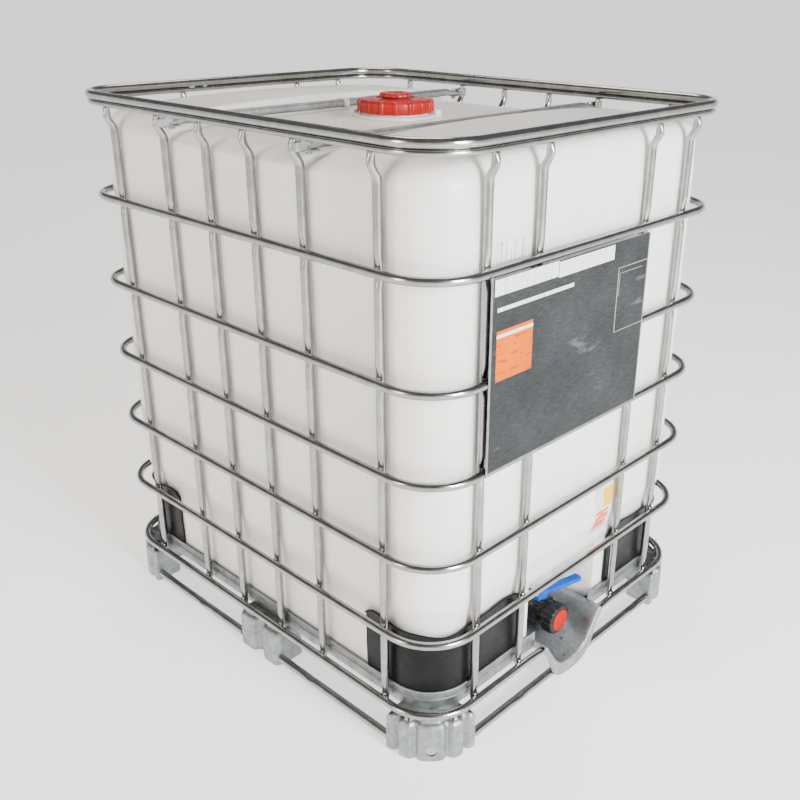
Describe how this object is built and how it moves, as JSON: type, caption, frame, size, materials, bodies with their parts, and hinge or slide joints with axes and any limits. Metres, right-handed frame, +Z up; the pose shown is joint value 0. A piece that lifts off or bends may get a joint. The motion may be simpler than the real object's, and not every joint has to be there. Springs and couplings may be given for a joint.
{
  "type": "intermediate bulk container",
  "caption": "Tall translucent plastic tank held in a welded tubular steel cage on a steel-footed pallet, with a screw fill cap on top and a lever valve at the foot of one short side.",
  "frame": {"origin": "centre of the 1000 x 1200 mm footprint, on the floor", "axes": "+Z up, outlet valve faces -Y, +X to the right seen from the front"},
  "size_m": [1, 1.2, 1.315],
  "materials": {
    "galvanised_tube": "hot-dip galvanised, satin with dull spots",
    "galvanised_sheet": "galvanised pressed sheet, spangled satin",
    "zinc_bolt": "zinc plated",
    "stem_steel": "turned stainless",
    "plate_steel": "sheet under a dark matt film",
    "natural_hdpe": "translucent natural polyethylene, faintly waxy",
    "black_guard": "moulded, satin",
    "black_plastic": "moulded, satin",
    "grey_plastic": "moulded",
    "red_plastic": "moulded, semi-gloss",
    "blue_plastic": "moulded, semi-gloss",
    "yellow_plastic": "moulded, semi-gloss",
    "cream_plastic": "moulded",
    "seal_rubber": "matt",
    "label_film": "printed adhesive film"
  },
  "bodies": {
    "container": {"rim_tube": "galvanised_tube", "rim_bead": "galvanised_tube", "cage_ring_1": "galvanised_tube", "cage_ring_2": "galvanised_tube", "cage_ring_3": "galvanised_tube", "cage_ring_4": "galvanised_tube", "cage_ring_5": "galvanised_tube", "bottom_rail": "galvanised_tube", "uprights_left": "galvanised_tube", "uprights_right": "galvanised_tube", "uprights_front": "galvanised_tube", "uprights_back": "galvanised_tube", "cross_bar_front": "galvanised_tube", "cross_bar_back": "galvanised_tube", "bar_brackets": "galvanised_sheet", "bar_bolts": "zinc_bolt", "bar_strap": "cream_plastic", "tray": "galvanised_sheet", "foot_front_left": "galvanised_sheet", "foot_front_right": "galvanised_sheet", "foot_back_left": "galvanised_sheet", "foot_back_right": "galvanised_sheet", "guard_front_left": "black_guard", "guard_front_right": "black_guard", "guard_back_left": "black_guard", "guard_back_right": "black_guard", "foot_middle_right": "galvanised_sheet", "foot_middle_left": "galvanised_sheet", "foot_middle_back": "galvanised_sheet", "foot_outlet": "galvanised_sheet", "runner_left": "galvanised_tube", "runner_right": "galvanised_tube", "runner_front": "galvanised_tube", "runner_back": "galvanised_tube", "inner_bottle": "natural_hdpe", "bottle_front_left": "natural_hdpe", "bottle_front_middle": "natural_hdpe", "bottle_front_right": "natural_hdpe", "bottle_neck": "natural_hdpe", "valve_body": "black_plastic", "union_nut": "black_plastic", "valve_gasket": "seal_rubber", "stem_seal": "seal_rubber", "label_plate": "plate_steel", "plate_labels": "label_film", "bottle_labels": "label_film"},
    "cap_seal": {"cap_gasket": "seal_rubber"},
    "fill_cap": {"fill_cap": "red_plastic"},
    "vent_seal": {"vent_seal": "seal_rubber"},
    "vent_plug": {"vent_plug": "red_plastic"},
    "lever": {"lever_handle": "blue_plastic", "lever_screw": "zinc_bolt", "valve_stem": "stem_steel", "valve_disc": "grey_plastic"},
    "lock_tab": {"lock_tab": "yellow_plastic"},
    "outlet_seal": {"outlet_gasket": "seal_rubber"},
    "outlet_cap": {"outlet_cap": "black_plastic", "outlet_cap_disc": "red_plastic"}
  },
  "joints": [
    {"name": "cap_lift", "type": "slide", "parent": "container", "child": "cap_seal", "axis": [0, 0, 1], "range_m": [0, 0.12]},
    {"name": "cap_turn", "type": "hinge", "parent": "cap_seal", "child": "fill_cap", "pos_m": [0, 0, 1.29], "axis": [0, 0, 1], "range_deg": [0, 450]},
    {"name": "vent_lift", "type": "slide", "parent": "fill_cap", "child": "vent_seal", "axis": [0, 0, 1], "range_m": [0, 0.05]},
    {"name": "vent_turn", "type": "hinge", "parent": "vent_seal", "child": "vent_plug", "pos_m": [0, 0, 1.3], "axis": [0, 0, 1], "range_deg": [0, 360]},
    {"name": "lever_turn", "type": "hinge", "parent": "container", "child": "lever", "pos_m": [0, -0.496, 0.18], "axis": [0, 0, -1], "range_deg": [0, 90]},
    {"name": "lock_tab_lift", "type": "slide", "parent": "lever", "child": "lock_tab", "axis": [0, 0, 1], "range_m": [0, 0.008]},
    {"name": "outlet_cap_off", "type": "slide", "parent": "container", "child": "outlet_seal", "axis": [0, -1, 0], "range_m": [0, 0.14]},
    {"name": "outlet_cap_turn", "type": "hinge", "parent": "outlet_seal", "child": "outlet_cap", "pos_m": [0, -0.54, 0.123], "axis": [0, -1, 0], "range_deg": [0, 1080]}
  ],
  "couplings": [
    {"joint": "cap_turn", "follows": "cap_lift", "rad_per_m": 65.44},
    {"joint": "vent_turn", "follows": "vent_lift", "rad_per_m": 125.66},
    {"joint": "outlet_cap_turn", "follows": "outlet_cap_off", "rad_per_m": 134.63}
  ]
}
